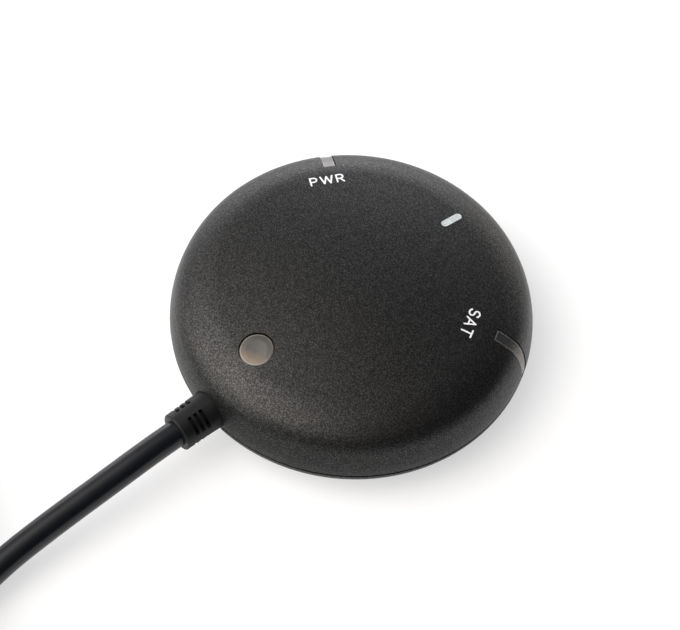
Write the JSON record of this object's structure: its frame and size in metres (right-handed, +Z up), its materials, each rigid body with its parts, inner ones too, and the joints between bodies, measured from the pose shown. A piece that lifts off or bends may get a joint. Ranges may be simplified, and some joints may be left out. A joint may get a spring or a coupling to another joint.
{
  "type": "gnss receiver",
  "caption": "Round black puck-shaped GNSS receiver with light guides at its rim, a small round push button, a slotted strain relief and a captive USB cable, coiled and tied.",
  "frame": {"origin": "middle of the puck, on the surface that its rubber feet stand on", "axes": "+Z up through the dome, -Y along the cable outlet, +Y towards the white direction mark, the fix lamp on the +X side and the power lamp on the -X side"},
  "size_m": [0.0842, 0.1657, 0.0215],
  "materials": {
    "black_case_plastic": "fine spark-eroded satin ABS",
    "light_guide_plastic": "smoky clear polycarbonate",
    "button_plastic": "smoky translucent polycarbonate",
    "cable_pvc": "semi-gloss PVC jacket",
    "gland_pvc": "satin moulded PVC",
    "black_rubber": "matt",
    "seal_rubber": "matt",
    "board_green": "solder mask",
    "antenna_ceramic": "fired microwave ceramic",
    "silver_film": "silver print",
    "tinned_steel": "tinned sheet",
    "chip_black": "moulded epoxy",
    "led_body": "diffused resin",
    "cell_steel": "stainless",
    "capacitor_body": "sintered",
    "connector_plastic": "natural nylon",
    "switch_plastic": "moulded nylon",
    "adhesive_foam": "acrylic foam tape",
    "magnet_nickel": "nickel plated neodymium",
    "zinc_screw": "black zinc",
    "wire_red_pvc": "PVC",
    "wire_white_pvc": "PVC",
    "white_print": "pad-printed ink",
    "wire_green_pvc": "PVC",
    "wire_black_pvc": "PVC",
    "usb_shell_nickel": "nickel plated",
    "usb_tongue": "white PBT",
    "contact_gold": "gold flash",
    "strap_nylon": "woven strap"
  },
  "bodies": {
    "root": {"top_cover": "black_case_plastic", "base_cover": "black_case_plastic", "seal_ring": "seal_rubber", "power_light_guide": "light_guide_plastic", "fix_light_guide": "light_guide_plastic", "switch_body": "switch_plastic", "circuit_board": "board_green", "patch_antenna": "antenna_ceramic", "antenna_electrode": "silver_film", "antenna_feed_pin": "tinned_steel", "antenna_adhesive_pad": "adhesive_foam", "shield_can": "tinned_steel", "receiver_chip": "chip_black", "reference_oscillator": "tinned_steel", "usb_bridge_chip": "chip_black", "voltage_regulator": "chip_black", "backup_cell": "cell_steel", "chip_capacitors": "capacitor_body", "power_led": "led_body", "fix_led": "led_body", "cable_header": "connector_plastic", "wire_plug": "connector_plastic", "wire_red": "wire_red_pvc", "wire_white": "wire_white_pvc", "wire_green": "wire_green_pvc", "wire_black": "wire_black_pvc", "strain_relief": "gland_pvc", "usb_cable": "cable_pvc", "usb_cable_end": "cable_pvc", "usb_cable_coil": "cable_pvc", "coil_tie": "strap_nylon", "usb_plug_grip": "gland_pvc", "usb_plug_shell": "usb_shell_nickel", "usb_plug_insulator": "usb_tongue", "usb_plug_contacts": "contact_gold", "base_magnet": "magnet_nickel", "magnet_cover": "tinned_steel", "case_screws": "zinc_screw", "rubber_feet": "black_rubber"},
    "button": {"button_cap": "button_plastic", "switch_plunger": "switch_plastic"}
  },
  "joints": [
    {"name": "button_press", "type": "slide", "parent": "root", "child": "button", "axis": [0, 0, -1], "range_m": [0, 0.00035], "stiffness_N_per_m": 1200, "springref_m": -0.0003}
  ]
}
